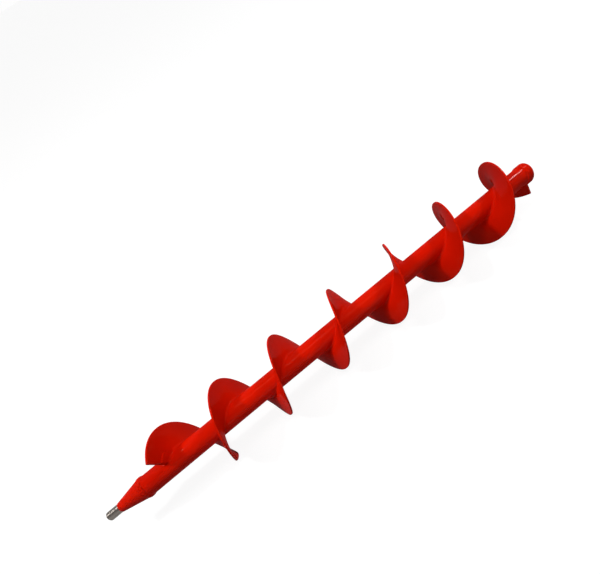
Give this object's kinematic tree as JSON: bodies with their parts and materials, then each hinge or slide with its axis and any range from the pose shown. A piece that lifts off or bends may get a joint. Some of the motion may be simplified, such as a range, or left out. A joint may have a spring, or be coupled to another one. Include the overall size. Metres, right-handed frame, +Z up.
{
  "type": "screw conveyor auger",
  "caption": "Left-hand helical flight welded on edge to a round tube, with a turned stub at one end and a bored hub at the other; it turns in its bearings to push loose material along.",
  "frame": {"origin": "on the auger's axis, in the middle of the stub's bearing seat", "axes": "+X along the auger's axis from the stub to the hub, +Z up as it lies on its flight, +Y across"},
  "size_m": [1.3138, 0.1778, 0.1776],
  "materials": {
    "red_enamel": "glossy red enamel over welded steel",
    "stub_steel": "red enamel on the cone, turned bare steel on the bearing seat"
  },
  "bodies": {
    "root": {"core_tube": "red_enamel", "stub_end": "stub_steel", "hub_end": "red_enamel", "stub_end_weld": "red_enamel", "hub_end_weld": "red_enamel", "flight": "red_enamel", "start_pad": "red_enamel", "start_pad_weld": "red_enamel", "root_weld_hub_side": "red_enamel", "root_weld_stub_side": "red_enamel"}
  },
  "joints": []
}
